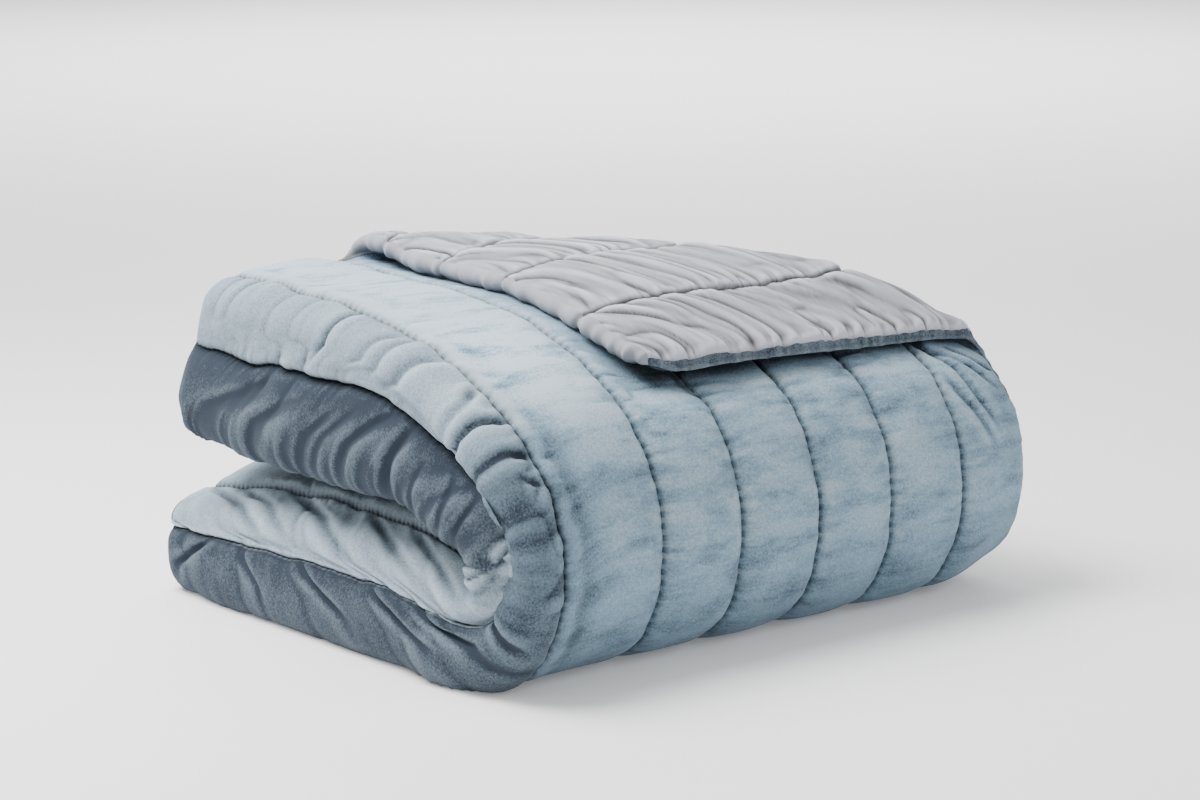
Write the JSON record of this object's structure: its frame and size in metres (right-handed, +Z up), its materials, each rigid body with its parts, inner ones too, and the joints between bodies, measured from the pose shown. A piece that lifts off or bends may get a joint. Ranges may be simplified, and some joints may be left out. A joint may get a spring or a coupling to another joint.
{
  "type": "velvet quilt",
  "caption": "Channel-quilted velvet quilt folded into a soft block that rests flat, with a rounded fold in front and a corner turned back over its plain reverse.",
  "frame": {"origin": "middle of the folded quilt's outline, on the surface that it rests on", "axes": "+X along the long side of the folded block, away from the end where it is folded in thirds; -Y towards the rounded fold in half; +Z up"},
  "size_m": [0.7404, 0.6456, 0.3795],
  "materials": {
    "velvet": "short velvet pile",
    "reverse": "crinkled plain weave"
  },
  "bodies": {
    "root": {"velvet_quilt": "velvet", "reverse_panel": "reverse"}
  },
  "joints": []
}
